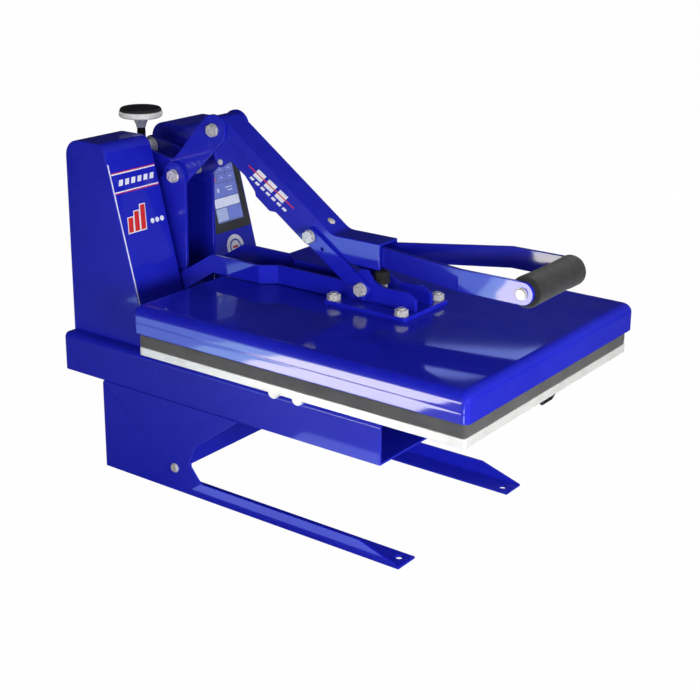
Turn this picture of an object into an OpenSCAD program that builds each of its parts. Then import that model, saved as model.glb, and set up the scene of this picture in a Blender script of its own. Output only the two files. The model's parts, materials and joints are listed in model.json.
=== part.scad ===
// Clamshell heat press, 16 x 20 inch, with a threadable bench stand.
// X is to the right, -Y is the operator's side and +Z is up. Inside the modules Y is
// measured from the platen's centre; place() moves the press so that its own origin is the
// middle of the bottom of its bounding box. All sizes are in millimetres.

/* [Platens] */
// Width of both platens
platen_w = 406.4; // [338:0.1:488]
// Depth of both platens
platen_d = 508; // [423:1:610]
// Thickness of the lower aluminium platen
platen_t = 11.4; // [9:0.1:14]
// Thickness of the silicone sponge pad
pad_t = 17; // [12:0.5:22]
// Thickness of the heated platen
heat_t = 16; // [13:0.5:20]
// Gap left between the closed heated platen and the pad
press_gap = 0.3; // [0.2:0.1:1]
// Radius of the platens' corners
platen_corner = 5; // [2:0.5:12]
// Radius of the heating element's tube
element_r = 3.5; // [2.5:0.5:4.5]

/* [Heat cover] */
// How far the cover stands out past the platen on each side
cover_lip = 5.8; // [4:0.1:8]
// Height of the heated platen's edge that shows under the cover
heat_edge = 2.5; // [2:0.5:6]
// Height of the cover
cover_h = 38.3; // [32:0.1:44]
// Thickness of the cover's sheet
cover_wall = 2; // [1.2:0.1:3]
// Radius of the cover's rolled edge
cover_edge_r = 12; // [8:0.5:14]
// Radius of the cover's corners
cover_corner = 14; // [10:1:24]

/* [Stand] */
// Width of the stand over its two sides
stand_w = 302; // [252:1:362]
// Height of the stand
stand_h = 131.5; // [110:0.5:158]
// How far the feet reach past the front of the base
leg_reach = 31.2; // [26:0.1:60]
// Height of the feet's upright web
leg_web_h = 22; // [18:0.5:28]
// Width of the feet's flat flange
foot_w = 37; // [30:1:45]
// Thickness of the stand's sheet
stand_sheet = 3; // [2:0.5:5]
// Radius of the bench bolt holes
bench_hole_r = 4.5; // [3:0.1:6]
// Distance between the two bench bolt holes
bench_hole_spacing = 256; // [240:1:262]
// Distance from the feet's tips to the bench bolt holes
bench_hole_setback = 15; // [12:0.5:25]

/* [Base] */
// Width of the base channel
base_w = 299.2; // [270:0.1:302]
// Height of the base channel
base_h = 56; // [46:0.5:67]
// Thickness of the base channel's sheet
base_sheet = 3; // [2:0.5:4]
// How far the lower platen reaches past the front of the base
front_overhang = 153.2; // [120:0.1:183]
// Clear height between the base and the lower platen
table_gap = 26.5; // [22:0.5:32]

/* [Towers] */
// Clear distance from the platens' rear edge to the uprights
throat = 70.6; // [66:0.1:85]
// Width of each tower cover
tower_w = 90.3; // [75:0.1:94]
// Height of the tower covers
tower_h = 280; // [262:1:290]
// Depth of the tower covers on the base
tower_d = 148.3; // [142:0.1:160]
// Lean of the tower covers' front from upright, in degrees
tower_rake = 15.1; // [12:0.1:18]
// Thickness of the tower covers' sheet
tower_wall = 1.6; // [1:0.1:2.5]
// Bend radius at the rear top of a tower cover
tower_rear_r = 24; // [15:1:30]
// Bend radius at the front top of a tower cover
tower_front_r = 18; // [12:1:24]
// Width of the control bezel
bezel_w = 80; // [66:1:84]
// Height of the control bezel along the tower's face
bezel_h = 110; // [95:1:130]
// Width of the touch screen
screen_w = 57; // [48:1:62]
// Height of the touch screen
screen_h = 84; // [70:1:90]

/* [Linkage] */
// Thickness of the linkage plates
plate_t = 5; // [4:0.5:6]
// Side gap between neighbouring linkage plates
side_gap = 0.5; // [0.3:0.1:1]
// Radial clearance of a pin in its bore
pin_clear = 0.05; // [0.01:0.01:0.1]
// Radius of the pivot bolts
pivot_r = 5; // [4:0.5:6]
// Radius of the platen arm's hinge shaft
hinge_r = 8; // [6:0.5:9]
// Half width of the toggle links
link_half = 11.5; // [9.5:0.5:12.5]
// Height of the platen arm's bars
bar_h = 26; // [22:1:30]
// Radius of the rounded top of the uprights
upright_r = 20; // [17:0.5:24]

/* [Lever and handle] */
// Width of the lever channel
lever_w = 40.8; // [34:0.1:46]
// Thickness of the lever channel's sheet
lever_sheet = 4; // [3:0.5:5]
// Height of the handle bars
handle_bar_h = 28.8; // [24:0.1:32]
// Outside width of the handle over its bars
handle_w = 132; // [120:1:158]
// Radius of the foam grip
grip_r = 20; // [17:0.5:24]

/* [Pressure knob] */
// Radius of the pressure knob
knob_r = 31.5; // [26:0.5:38]
// Height of the pressure knob's rim
knob_rim_h = 9; // [7:0.5:11]
// Radius of the pressure screw
screw_r = 6; // [5:0.5:7]

/* [Hidden] */
$fn = 48;

paint = "#2424c8";
zinc = "#c9c6bd";
black = "#1c1c1e";
eps = 0.01;

// Levels, from the bench up
base_top = stand_h + base_h;
platen_z = base_top + table_gap;
pad_z = platen_z + platen_t;
heat_z = pad_z + pad_t + press_gap;
heat_top = heat_z + heat_t;
cover_z = heat_z + heat_edge;
cover_top = cover_z + cover_h;
bracket_t = 6;
bracket_top = cover_top + bracket_t;

// Depths, from the platen's centre
front_y = -platen_d/2;
base_front = front_y + front_overhang;
foot_tip = base_front - leg_reach;
upright_y = platen_d/2 + throat;
tower_front = upright_y - 17.3;
tower_rear = tower_front + tower_d;
base_rear = tower_rear + 0.4;
stand_rear = base_rear - 74.8;
tower_top = base_top + tower_h;

// Sideways stack of the linkage, from the middle out
lever_half = lever_w/2;
cheek_out = lever_half + 0.1;
cheek_in = cheek_out - plate_t;
link_in = cheek_out + side_gap;
link_out = link_in + plate_t;
upright_in = link_out + side_gap;
upright_out = upright_in + plate_t;
bar_in = upright_out + side_gap;
bar_out = bar_in + plate_t;
slot_half = bar_out + 3.5;
tower_mid = slot_half + tower_w/2;

// Pivots, as [Y, Z]
arm_pivot = [upright_y + upright_r, cover_top + 128.7];
lever_pivot = arm_pivot + [-70.6, 73.4];
screw_pos = arm_pivot + [92.4, 23.8];
hinge_pos = [upright_y + 60.4, cover_top - 57.5];
link_low = [20.3, cover_top + 21.8];
link_high = [105.5, cover_top + 79.2];
stop_pos = [lever_pivot.x - 8, lever_pivot.y - 44.6];
grip_pos = [front_y + 12, cover_top + 77.1];
bumper_pos = [5, cover_top + 28];

// Fasteners
washer_r = 9.5;
washer_t = 1.5;
hex_r = 9.2;
hex_h = 6;
bracket_bolt_x = 42;
bracket_bolt_y = [-55.1, 52.6];
knob_z = cover_top + 198;
seat_z = cover_top + 104;
seat_t = 12;
collar_h = 5;

// The press's own box runs from the foam grip to the knob
rear_y = max(screw_pos.x + knob_r, base_rear);
mid_y = (grip_pos.x - grip_r + rear_y)/2;

// ---------------------------------------------------------------- helpers
function unit(v) = v/norm(v);
function normal(v) = [-v.y, v.x]/norm(v);
function turn(a) = a > 180 ? a - 360 : a < -180 ? a + 360 : a;

// The arc that rounds the corner at q between p and s
function corner(p, q, s, r) =
    r <= 0 ? [q] :
    let (a = unit(p - q), b = unit(s - q), half = acos(a*b)/2,
         c = q + unit(a + b)*r/sin(half),
         from = q + a*r/tan(half) - c, to = q + b*r/tan(half) - c,
         a0 = atan2(from.y, from.x), da = turn(atan2(to.y, to.x) - a0),
         n = max(2, ceil(abs(da)/9)))
    [for (i = [0:n]) c + r*[cos(a0 + da*i/n), sin(a0 + da*i/n)]];

// An outline from [x, y, corner radius] points
function rounded(pts) = let (n = len(pts), p = [for (q = pts) [q.x, q.y]])
    [for (i = [0:n-1]) each corner(p[(i + n - 1) % n], p[i], p[(i + 1) % n], pts[i].z)];

// The same outline moved inwards by a wall, for points in anticlockwise order
function inset(pts, wall) = let (n = len(pts), p = [for (q = pts) [q.x, q.y]])
    [for (i = [0:n-1])
        let (n1 = normal(p[i] - p[(i + n - 1) % n]), n2 = normal(p[(i + 1) % n] - p[i]),
             q = p[i] + (n1 + n2)*wall/(1 + n1*n2))
        [q.x, q.y, max(0, pts[i].z - wall)]];

// The half circle round c that faces along dir, as clockwise outline points
function half_round(c, dir, r) = let (a = atan2(dir.y, dir.x))
    [for (t = [-90:9:90]) [c.x + r*cos(a - t), c.y + r*sin(a - t), 0]];

function box_outline(w, d, r) =
    [[-w/2, -d/2, r], [w/2, -d/2, r], [w/2, d/2, r], [-w/2, d/2, r]];

module place() { translate([0, -mid_y, 0]) children(); }

// Where the line through p and q meets the line through s and t
function meet(p, q, s, t) =
    let (d = q - p, e = t - s, k = ((s.x - p.x)*e.y - (s.y - p.y)*e.x)/(d.x*e.y - d.y*e.x)) p + k*d;

// A plate in the YZ plane: its outline's x becomes Y and its y becomes Z
module yz_plate(x, t) { translate([x, 0, 0]) rotate([90, 0, 90]) linear_extrude(t) children(); }

// A prism along Y from y0 to y1 with an outline in X and Z
module xz_prism(y0, y1) { translate([0, y1, 0]) rotate([90, 0, 0]) linear_extrude(y1 - y0) children(); }

module rod_x(p, r, x0, x1) {
    translate([x0, p.x, p.y]) rotate([0, 90, 0]) cylinder(r = r, h = x1 - x0);
}

module hole_x(p, r) { rod_x(p, r, -250, 250); }

module hex_x(p, x0, x1) {
    translate([x0, p.x, p.y]) rotate([0, 90, 0]) cylinder(r = hex_r, h = x1 - x0, $fn = 6);
}

// A through bolt along X whose heads and washers bear on the faces at -x and +x
module pivot_bolt(p, x) {
    rod_x(p, pivot_r, -x, x);
    for (s = [0, 1]) mirror([s, 0, 0]) {
        rod_x(p, washer_r, x, x + washer_t);
        hex_x(p, x + washer_t - eps, x + washer_t + hex_h - 1);
    }
}

module slab(w, d, z, t, r) { translate([0, 0, z]) linear_extrude(t) polygon(rounded(box_outline(w, d, r))); }

// Puts its children on the raked front of a tower: x across, s up the face
module on_front(x, s) {
    translate([x, tower_front, base_top]) rotate([90 - tower_rake, 0, 0]) translate([0, s, 0]) children();
}

// ---------------------------------------------------------------- stand
stand_half = stand_w/2;
cross_y = base_rear - 237.3;
cross_low = 45;
side_bolt = [cross_y + 26.2, 33.9];
ear_d = 44;

module stand_side() {
    outline = [
        [stand_rear, 0, 0], [stand_rear, stand_h, 4], [cross_y - 90.5, stand_h, 3],
        [cross_y - 11, stand_h - 58, 10], [cross_y, cross_low + 1, 6], [cross_y - 20, leg_web_h, 16],
        [foot_tip + 62, leg_web_h, 6], [foot_tip, stand_sheet, 0], [foot_tip, 0, 0]
    ];
    color(paint) difference() {
        union() {
            yz_plate(-stand_half, stand_sheet) polygon(rounded(outline));
            translate([-stand_half, foot_tip, 0]) cube([foot_w, stand_rear - foot_tip, stand_sheet]);
            translate([-stand_half, cross_y - 88, stand_h - stand_sheet])
                cube([foot_w, stand_rear - cross_y + 86, stand_sheet]);
        }
        translate([-bench_hole_spacing/2, foot_tip + bench_hole_setback, -1])
            cylinder(r = bench_hole_r, h = stand_sheet + 2);
        for (y = base_bolt_y)
            translate([-base_bolt_x, y, stand_h - stand_sheet - 1])
                cylinder(r = base_bolt_r + pin_clear, h = stand_sheet + 2);
        hole_x(side_bolt, side_bolt_r + pin_clear);
    }
}
module stand_left() { place() stand_side(); }
module stand_right() { place() mirror([1, 0, 0]) stand_side(); }

module stand_cross_plate() {
    inner = stand_half - stand_sheet;
    color(paint) place() difference() {
        union() {
            translate([-inner, cross_y, cross_low])
                cube([2*inner, stand_sheet, stand_h - stand_sheet - cross_low]);
            for (s = [0, 1]) mirror([s, 0, 0])
                translate([-inner, cross_y, leg_web_h])
                    cube([stand_sheet, ear_d, stand_h - stand_sheet - leg_web_h]);
        }
        hole_x(side_bolt, side_bolt_r + pin_clear);
    }
}

module stand_rear_plate() {
    inner = stand_half - stand_sheet;
    color(paint) place() translate([-inner, stand_rear - stand_sheet, stand_sheet])
        cube([2*inner, stand_sheet, stand_h - 2*stand_sheet]);
}

side_bolt_r = 4;
module stand_bolts() {
    color(zinc) place() for (s = [0, 1]) mirror([s, 0, 0]) {
        rod_x(side_bolt, side_bolt_r, -stand_half, -stand_half + 2*stand_sheet + 8);
        rod_x(side_bolt, 6.8, -stand_half - 1.5, -stand_half);
        rod_x(side_bolt, 5.4, -stand_half - 3.2, -stand_half - 1.5 + eps);
        translate([-stand_half + 2*stand_sheet, side_bolt.x, side_bolt.y]) rotate([0, 90, 0])
            cylinder(r = 7.5, h = 6, $fn = 6);
    }
}

// ---------------------------------------------------------------- base
base_bolt_x = 128;
base_bolt_y = [cross_y - 60, stand_rear - 25];
base_bolt_r = 4;

module base_channel() {
    half = base_w/2;
    outer = [[-half, stand_h, 0], [half, stand_h, 0], [half, base_top, 7], [-half, base_top, 7]];
    low = [[-half, stand_h - 9, 0], [half, stand_h - 9, 0], [half, base_top, 7], [-half, base_top, 7]];
    color(paint) place() difference() {
        xz_prism(base_front, base_rear) polygon(rounded(outer));
        xz_prism(base_front - 1, base_rear - base_sheet) polygon(rounded(inset(low, base_sheet)));
    }
}

module base_floor() {
    inner = base_w/2 - base_sheet;
    color(paint) place() difference() {
        translate([-inner, base_front, stand_h])
            cube([2*inner, base_rear - base_sheet - base_front, base_sheet]);
        for (x = [-base_bolt_x, base_bolt_x], y = base_bolt_y)
            translate([x, y, stand_h - 1]) cylinder(r = base_bolt_r + pin_clear, h = base_sheet + 2);
    }
}

module base_bolts() {
    color(zinc) place() for (x = [-base_bolt_x, base_bolt_x], y = base_bolt_y) translate([x, y, stand_h]) {
        translate([0, 0, -stand_sheet - 7]) cylinder(r = base_bolt_r, h = stand_sheet + 7 + base_sheet);
        translate([0, 0, base_sheet]) cylinder(r = 7.5, h = 5, $fn = 6);
        translate([0, 0, -stand_sheet - 6]) cylinder(r = 7.5, h = 6, $fn = 6);
    }
}

module table_support() {
    wall = 5;
    w = 150;
    d = 260;
    y = (base_front + platen_d/2)/2 - 20;
    color(paint) place() translate([0, y, 0]) difference() {
        slab(w, d, base_top, table_gap, 6);
        slab(w - 2*wall, d - 2*wall, base_top - 1, table_gap + 2, 3);
    }
}

// Small hook under the lower platen's front edge
module table_latch() {
    color(black) place() yz_plate(-12, 24)
        polygon([[front_y + 1, platen_z], [front_y + 19, platen_z], [front_y + 15, platen_z - 4],
                 [front_y + 9, platen_z - 11], [front_y + 6, platen_z - 10]]);
}

lug_y = [25, -12.7];
module lower_platen() {
    color("#c4c6c8") place() {
        slab(platen_w, platen_d, platen_z, platen_t, platen_corner);
        for (s = [0, 1], y = lug_y) mirror([s, 0, 0])
            yz_plate(-platen_w/2, 9) translate([y, platen_z + 1]) circle(8);
    }
}

module silicone_pad() { color("#3a3a3c") place() slab(platen_w, platen_d, pad_z, pad_t, platen_corner + 1); }

// ---------------------------------------------------------------- uprights and towers
upright_rear = screw_pos.x + 16;
seat_top = seat_z + seat_t;

module upright() {
    shelf = seat_top + 2;
    outline = [
        [upright_y, base_top, 0], [upright_rear, base_top, 0], [upright_rear, shelf, 6],
        [arm_pivot.x + upright_r + 14, shelf, 10], [arm_pivot.x + upright_r, arm_pivot.y, 0],
        [upright_y, arm_pivot.y, 0]
    ];
    color(paint) difference() {
        yz_plate(-upright_out, plate_t) union() {
            polygon(rounded(outline));
            translate(arm_pivot) circle(upright_r);
        }
        hole_x(arm_pivot, pivot_r + pin_clear);
        hole_x(hinge_pos, hinge_r + pin_clear);
    }
}
module upright_left() { place() upright(); }
module upright_right() { place() mirror([1, 0, 0]) upright(); }

// Cross plate between the uprights, below the linkage
module upright_tie() {
    color(paint) place() translate([-upright_in, upright_y + 12, base_top])
        cube([2*upright_in, plate_t, 60]);
}

// Bar between the uprights that carries the foot of the pressure screw
module screw_seat() {
    color(paint) place() difference() {
        translate([-upright_in, screw_pos.x - 15, seat_z]) cube([2*upright_in, 30, seat_t]);
        translate([0, screw_pos.x, seat_z - 1]) cylinder(r = screw_r + pin_clear, h = seat_t + 2);
    }
}

module pressure_pivot_bolt() { color(zinc) place() pivot_bolt(arm_pivot, upright_out); }

module hinge_shaft() {
    color(zinc) place() difference() {
        rod_x(hinge_pos, hinge_r, -bar_out - 3, bar_out + 3);
        for (s = [0, 1]) mirror([s, 0, 0]) difference() {
            rod_x(hinge_pos, hinge_r + 1, bar_out + side_gap, bar_out + side_gap + 1.2);
            rod_x(hinge_pos, hinge_r - 1, bar_out, bar_out + 3);
        }
    }
}

module retaining_rings() {
    color(black) place() for (s = [0, 1]) mirror([s, 0, 0]) difference() {
        rod_x(hinge_pos, hinge_r + 3, bar_out + side_gap, bar_out + side_gap + 1.2);
        rod_x(hinge_pos, hinge_r - 1, bar_out, bar_out + 3);
    }
}

function tower_profile(z0) = let (rake = tan(tower_rake)) [
    [tower_front + (z0 - base_top)*rake, z0, 0], [tower_rear, z0, 0],
    [tower_rear, tower_top, tower_rear_r],
    [tower_front + tower_h*rake, tower_top, tower_front_r]
];

module tower_cover() {
    color(paint) difference() {
        yz_plate(slot_half, tower_w) polygon(rounded(tower_profile(base_top)));
        yz_plate(slot_half + tower_wall, tower_w - 2*tower_wall)
            polygon(rounded(inset(tower_profile(base_top - 2*tower_wall), tower_wall)));
    }
}
module tower_cover_left() { place() mirror([1, 0, 0]) tower_cover(); }

inlet_z = base_top + 12;
inlet_w = 50;
inlet_h = 72;
inlet_t = 4;
rocker_z = inlet_z + 56;
rocker_w = 21;
rocker_h = 15;
rocker_gap = 1.6;
rocker_pivot = [tower_rear - 4, rocker_z];
trunnion = 2;
rocker_side = 0.6;
module tower_cover_right() {
    place() difference() {
        tower_cover();
        translate([tower_mid - inlet_w/2 + 4, tower_rear - tower_wall - 1, inlet_z + 4])
            cube([inlet_w - 8, tower_wall + 2, inlet_h - 8]);
    }
}

module rear_panel() {
    color(paint) place() translate([-slot_half, tower_rear - tower_wall, base_top])
        cube([2*slot_half, tower_wall, tower_h - 75]);
}

module cover_screws() {
    color(zinc) place()
        for (x = [slot_half + 7, slot_half + tower_w - 7], z = [base_top + 12, tower_top - 40], s = [0, 1])
            mirror([s, 0, 0]) translate([x, tower_rear, z]) rotate([90, 0, 0]) {
                translate([0, 0, -1.8]) cylinder(r = 3.6, h = 1.8);
            }
}

// ---------------------------------------------------------------- controls
bezel_s = 126;
bezel_t = 3;
screen_s = bezel_s + 14;
screen_recess = 0.8;

module control_bezel() {
    color(black) place() on_front(tower_mid, bezel_s) difference() {
        linear_extrude(bezel_t) translate([0, bezel_h/2]) polygon(rounded(box_outline(bezel_w, bezel_h, 3)));
        translate([-screen_w/2, screen_s - bezel_s, bezel_t - 2]) cube([screen_w, screen_h, 3]);
    }
}

module control_screen() {
    color("#5566b0") place() on_front(tower_mid, screen_s)
        translate([-screen_w/2, 0, bezel_t - 2]) cube([screen_w, screen_h, 2 - screen_recess]);
}

module controller_board() {
    color("#1f6b3a") place() on_front(tower_mid, bezel_s + 8) {
        translate([-34, 0, -tower_wall - 12]) cube([68, 92, 1.6]);
        for (x = [-30, 30], y = [6, 86])
            translate([x, y, -tower_wall - 10.5]) cylinder(r = 3, h = 10.5);
        translate([-20, 20, -tower_wall - 22]) cube([24, 18, 10.1]);
        translate([8, 50, -tower_wall - 26]) cube([18, 26, 14.1]);
    }
}

module solid_state_relay() {
    color(black) place() translate([tower_mid - 29, tower_rear - 75, base_top]) {
        cube([58, 45, 20]);
        for (x = [8, 42], y = [7, 38]) translate([x + 4, y, 20 - eps]) cylinder(r = 4, h = 4);
    }
}

module terminal_block() {
    color("#d8d2c0") place() difference() {
        translate([tower_mid - 32, tower_front + 26, base_top]) cube([64, 18, 16]);
        for (i = [0:5])
            translate([tower_mid - 26.5 + i*10.6, tower_front + 35, base_top + 6]) cylinder(r = 3, h = 12);
    }
}

// Inlet module on the right tower's rear: a three-pin socket with a frame for the rocker
module power_inlet() {
    color(black) place() difference() {
        union() {
            translate([tower_mid - inlet_w/2, tower_rear, inlet_z]) cube([inlet_w, inlet_t, inlet_h]);
            translate([tower_mid - inlet_w/2 + 5, tower_rear - 24, inlet_z + 5])
                cube([inlet_w - 10, 24 + eps, 34]);
            translate([tower_mid - rocker_w/2 - 3.5, tower_rear - 11, rocker_z - rocker_h/2 - 3])
                cube([rocker_w + 7, 11 + eps, rocker_h + 6]);
        }
        translate([tower_mid - 14, tower_rear - 14, inlet_z + 9]) cube([28, 30, 24]);
        translate([tower_mid - rocker_w/2 - rocker_side, tower_rear - 9, rocker_z - rocker_h/2 - rocker_gap])
            cube([rocker_w + 2*rocker_side, inlet_t + 14, rocker_h + 2*rocker_gap]);
        rod_x(rocker_pivot, trunnion + pin_clear, tower_mid - rocker_w/2 - 2.2, tower_mid + rocker_w/2 + 2.2);
    }
    color(zinc) place() for (p = [[-7, 17], [7, 17], [0, 26]])
        translate([tower_mid + p.x - 1, tower_rear - 14 - eps, inlet_z + p.y]) cube([2, 12, 5]);
}

// Rocker of the mains switch; it tips on two trunnions just inside the tower's rear
module power_switch() {
    color("#a01818") place() {
        yz_plate(tower_mid - rocker_w/2, rocker_w)
            polygon([[tower_rear - 4, rocker_z - 4], [tower_rear + 5.4, rocker_z - rocker_h/2],
                     [tower_rear + 4.2, rocker_z], [tower_rear + 5.4, rocker_z + rocker_h/2],
                     [tower_rear - 4, rocker_z + 4]]);
        rod_x(rocker_pivot, trunnion, tower_mid - rocker_w/2 - 2, tower_mid + rocker_w/2 + 2);
    }
}

// ---------------------------------------------------------------- pressure arm and knob
arm_r = 21.5;
arm_root_r = 18.5;
arm_end_r = 15;

module pressure_arm() {
    a = lever_pivot;
    m = arm_pivot;
    e = screw_pos;
    out = unit(a - m);
    up = normal(m - a);
    back = unit(e - m);
    rise = normal(e - m);
    top = meet(a + up*arm_r, m + up*arm_root_r, m + rise*arm_root_r, e + rise*arm_end_r);
    low = meet(a - up*arm_r, m - up*arm_root_r, m - rise*arm_root_r, e - rise*arm_end_r);
    color(paint) difference() {
        yz_plate(-link_out, plate_t) polygon(rounded([
            each half_round(a, out, arm_r), concat(top, [22]),
            each half_round(e, back, arm_end_r), concat(low, [arm_root_r])
        ]));
        hole_x(lever_pivot, pivot_r + pin_clear);
        hole_x(arm_pivot, pivot_r + pin_clear);
        hole_x(screw_pos, trunnion_pin_r + pin_clear);
    }
}
module pressure_arm_left() { place() pressure_arm(); }
module pressure_arm_right() { place() mirror([1, 0, 0]) pressure_arm(); }

// Plate welded between the two pressure arm plates, over the pivot
module pressure_arm_web() {
    p = arm_pivot + [34, 8];
    color(paint) place() translate([-link_in, p.x, p.y - 6]) cube([2*link_in, 22, 6]);
}

trunnion_pin_r = 6;
trunnion_r = 13;
nut_clear = 1;
module trunnion_nut() {
    color(zinc) place() difference() {
        union() {
            rod_x(screw_pos, trunnion_r, -link_in + 0.5, link_in - 0.5);
            rod_x(screw_pos, trunnion_pin_r, -link_out, link_out);
        }
        translate([0, screw_pos.x, screw_pos.y - 20]) cylinder(r = screw_r + nut_clear, h = 40);
    }
}

module lever_pivot_bolt() { color(zinc) place() pivot_bolt(lever_pivot, link_out); }

neck_h = 15.5;
neck_low_r = 6.8;
neck_top_r = 11.5;
module pressure_screw() {
    color(black) place() translate([0, screw_pos.x, 0]) {
        translate([0, 0, seat_z]) cylinder(r = screw_r, h = knob_z - neck_h - seat_z);
        translate([0, 0, seat_top]) cylinder(r = screw_r + 4, h = collar_h);
    }
}

module knob_neck() {
    color("#dcdcdc") place() translate([0, screw_pos.x, knob_z - neck_h]) rotate_extrude()
        polygon([[0, 0], [neck_low_r, 0], [neck_low_r + 0.6, 4], [neck_top_r - 1, 11],
                 [neck_top_r, neck_h], [0, neck_h]]);
}

module knob_rim() {
    color("#e2e0da") place() translate([0, screw_pos.x, knob_z]) rotate_extrude()
        polygon([[0, 0], [knob_r - 2.5, 0], [knob_r - 0.6, 1.2], [knob_r, 3], [knob_r, knob_rim_h - 2],
                 [knob_r - 0.8, knob_rim_h], [0, knob_rim_h]]);
}

cap_h = 5;
module knob_cap() {
    color(black) place() translate([0, screw_pos.x, knob_z + knob_rim_h]) rotate_extrude()
        polygon([[0, 0], [knob_r - 1.2, 0], [knob_r - 1.2, 2], [knob_r - 3.2, cap_h - 0.4],
                 [knob_r - 6, cap_h],
                 [9, cap_h], [8, cap_h - 0.8], [0, cap_h - 0.8]]);
}

// ---------------------------------------------------------------- lever
lever_front = -5;
lever_top = cover_top + 86;
lever_bend_y = 72;
lever_r = 21.5;

module lever_channel() {
    bend = [lever_bend_y, lever_top];
    ear = [stop_pos.x + 12, stop_pos.y + 4];
    top_dir = unit(lever_pivot - bend - [0, -lever_r*1.25]);
    rise = lever_pivot + [-top_dir.y, top_dir.x]*lever_r;
    back = [lever_pivot.x + lever_r, lever_pivot.y];
    crown = meet(bend, rise, ear, back);
    outline = [
        [lever_front, cover_top + 50.5, 2], [lever_front, lever_top, 0], concat(bend, [22]),
        concat(crown, [lever_r]), concat(ear, [4]), [stop_pos.x + 3, stop_pos.y - 11, 7],
        [lever_pivot.x - 25, lever_pivot.y - 41, 2], [lever_pivot.x - 51, lever_pivot.y - 58, 3],
        [lever_pivot.x - 68, lever_pivot.y - 77, 2], [lever_pivot.x - 70, lever_pivot.y - 84, 1],
        [lever_pivot.x - 94, lever_pivot.y - 101, 4], [lever_pivot.x - 105, lever_pivot.y - 101, 2],
        [118, cover_top + 66, 8], [62, cover_top + 57.5, 1], [61, cover_top + 53.5, 0],
        [44, cover_top + 53, 1], [43, cover_top + 51.5, 0]
    ];
    drop = [0, -lever_sheet*1.25];
    hollow = [
        [lever_front - 10, cover_top], [lever_front - 10, lever_top - lever_sheet],
        [lever_bend_y + 1.2, lever_top - lever_sheet],
        rise + drop, crown + drop + [30, 0], [crown.x + 30, cover_top]
    ];
    color(paint) place() difference() {
        yz_plate(-lever_half, lever_w) polygon(rounded(outline));
        yz_plate(-lever_half + lever_sheet, lever_w - 2*lever_sheet) polygon(hollow);
        hole_x(lever_pivot, pivot_r + pin_clear);
        hole_x(link_high, pivot_r + 0.4);
        hole_x(stop_pos, 3 + pin_clear);
    }
}

// Small bolt across the lever's ear that stops it against the pressure arm
module stop_bolt() {
    color(zinc) place() {
        rod_x(stop_pos, 3, -lever_half, lever_half);
        for (s = [0, 1]) mirror([s, 0, 0]) rod_x(stop_pos, 4.2, lever_half, lever_half + 0.9);
    }
}

// A handle bar: a flat bar bent outwards from the lever, then forwards
module handle_bar() {
    out = handle_w/2;
    tongue = lever_half - lever_sheet;
    flare_y = grip_pos.x + 89.5;
    tail = 36;
    plan = [
        [-tongue, tail], [-tongue, lever_front - 1], [-out, flare_y - 1], [-out, grip_pos.x - 30],
        [-out + plate_t, grip_pos.x - 30], [-out + plate_t, flare_y - 2.5],
        [-tongue + plate_t, lever_front - 2.5], [-tongue + plate_t, tail]
    ];
    low = grip_pos.y - handle_bar_h/2;
    high = grip_pos.y + handle_bar_h/2;
    tongue_top = lever_top - lever_sheet - side_gap;
    side = [
        [grip_pos.x, low, 0], [flare_y, low, 20], [lever_front, low - 7.5, 10], [tail + 1, low - 9, 0],
        [tail + 1, tongue_top, 0], [lever_front, tongue_top, 10],
        [flare_y, high - 0.6, 20], [grip_pos.x, high, 0]
    ];
    color(paint) difference() {
        intersection() {
            translate([0, 0, low - 60]) linear_extrude(160) polygon(plan);
            yz_plate(-out - 5, out) union() {
                polygon(rounded(side));
                translate(grip_pos) circle(handle_bar_h/2);
            }
        }
        hole_x(grip_pos, grip_bolt_r + pin_clear);
    }
}
module handle_bar_left() { place() handle_bar(); }
module handle_bar_right() { place() mirror([1, 0, 0]) handle_bar(); }

grip_bolt_r = 4;
grip_half = handle_w/2 - plate_t;
grip_core_r = 9;
module grip_tube() {
    color("#8a8c90") place() difference() {
        rod_x(grip_pos, grip_core_r, -grip_half, grip_half);
        hole_x(grip_pos, grip_bolt_r);
    }
}

module grip_foam() {
    color(black) place() difference() {
        rod_x(grip_pos, grip_r, -grip_half + 0.5, grip_half - 0.5);
        hole_x(grip_pos, grip_core_r);
    }
}

module grip_bolts() {
    color(zinc) place() for (s = [0, 1]) mirror([s, 0, 0]) {
        rod_x(grip_pos, grip_bolt_r, grip_half - 28, handle_w/2);
        rod_x(grip_pos, 7.5, handle_w/2, handle_w/2 + 1.5);
        rod_x(grip_pos, 6, handle_w/2 + 1.5 - eps, handle_w/2 + 4.5);
    }
}

// ---------------------------------------------------------------- toggle links
link_tail = 12.5;
link_corner = 4.5;
module link_plate() {
    along = unit(link_low - link_high);
    n = normal(link_low - link_high);
    end = link_low + along*link_tail;
    color(paint) difference() {
        yz_plate(-link_out, plate_t) polygon(rounded([
            each half_round(link_high, -along, link_half),
            concat(end + n*link_half, [link_corner]), concat(end - n*link_half, [link_corner])
        ]));
        hole_x(link_low, pivot_r + pin_clear);
        hole_x(link_high, pivot_r);
        hole_x(link_high + along*25, 2.4);
    }
}
module link_left() { place() link_plate(); }
module link_right() { place() mirror([1, 0, 0]) link_plate(); }

// Shoulder bolts that join the links to the lever's sides
module link_pivot_bolts() {
    color(zinc) place() for (s = [0, 1]) mirror([s, 0, 0]) {
        rod_x(link_high, pivot_r, link_in, link_out);
        rod_x(link_high, washer_r, link_out, link_out + washer_t);
        hex_x(link_high, link_out + washer_t - eps, link_out + washer_t + hex_h - 1);
    }
}

// ---------------------------------------------------------------- platen arm
bar_top = cover_top + 27;
bar_low = bar_top - bar_h;
hump_y = platen_d/2 + 18;
jog_rear = 185;
jog_front = 165;
hub_r = 13;
cheek_front = -62;
bracket_front = -67;
bracket_rear = 64;

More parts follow.
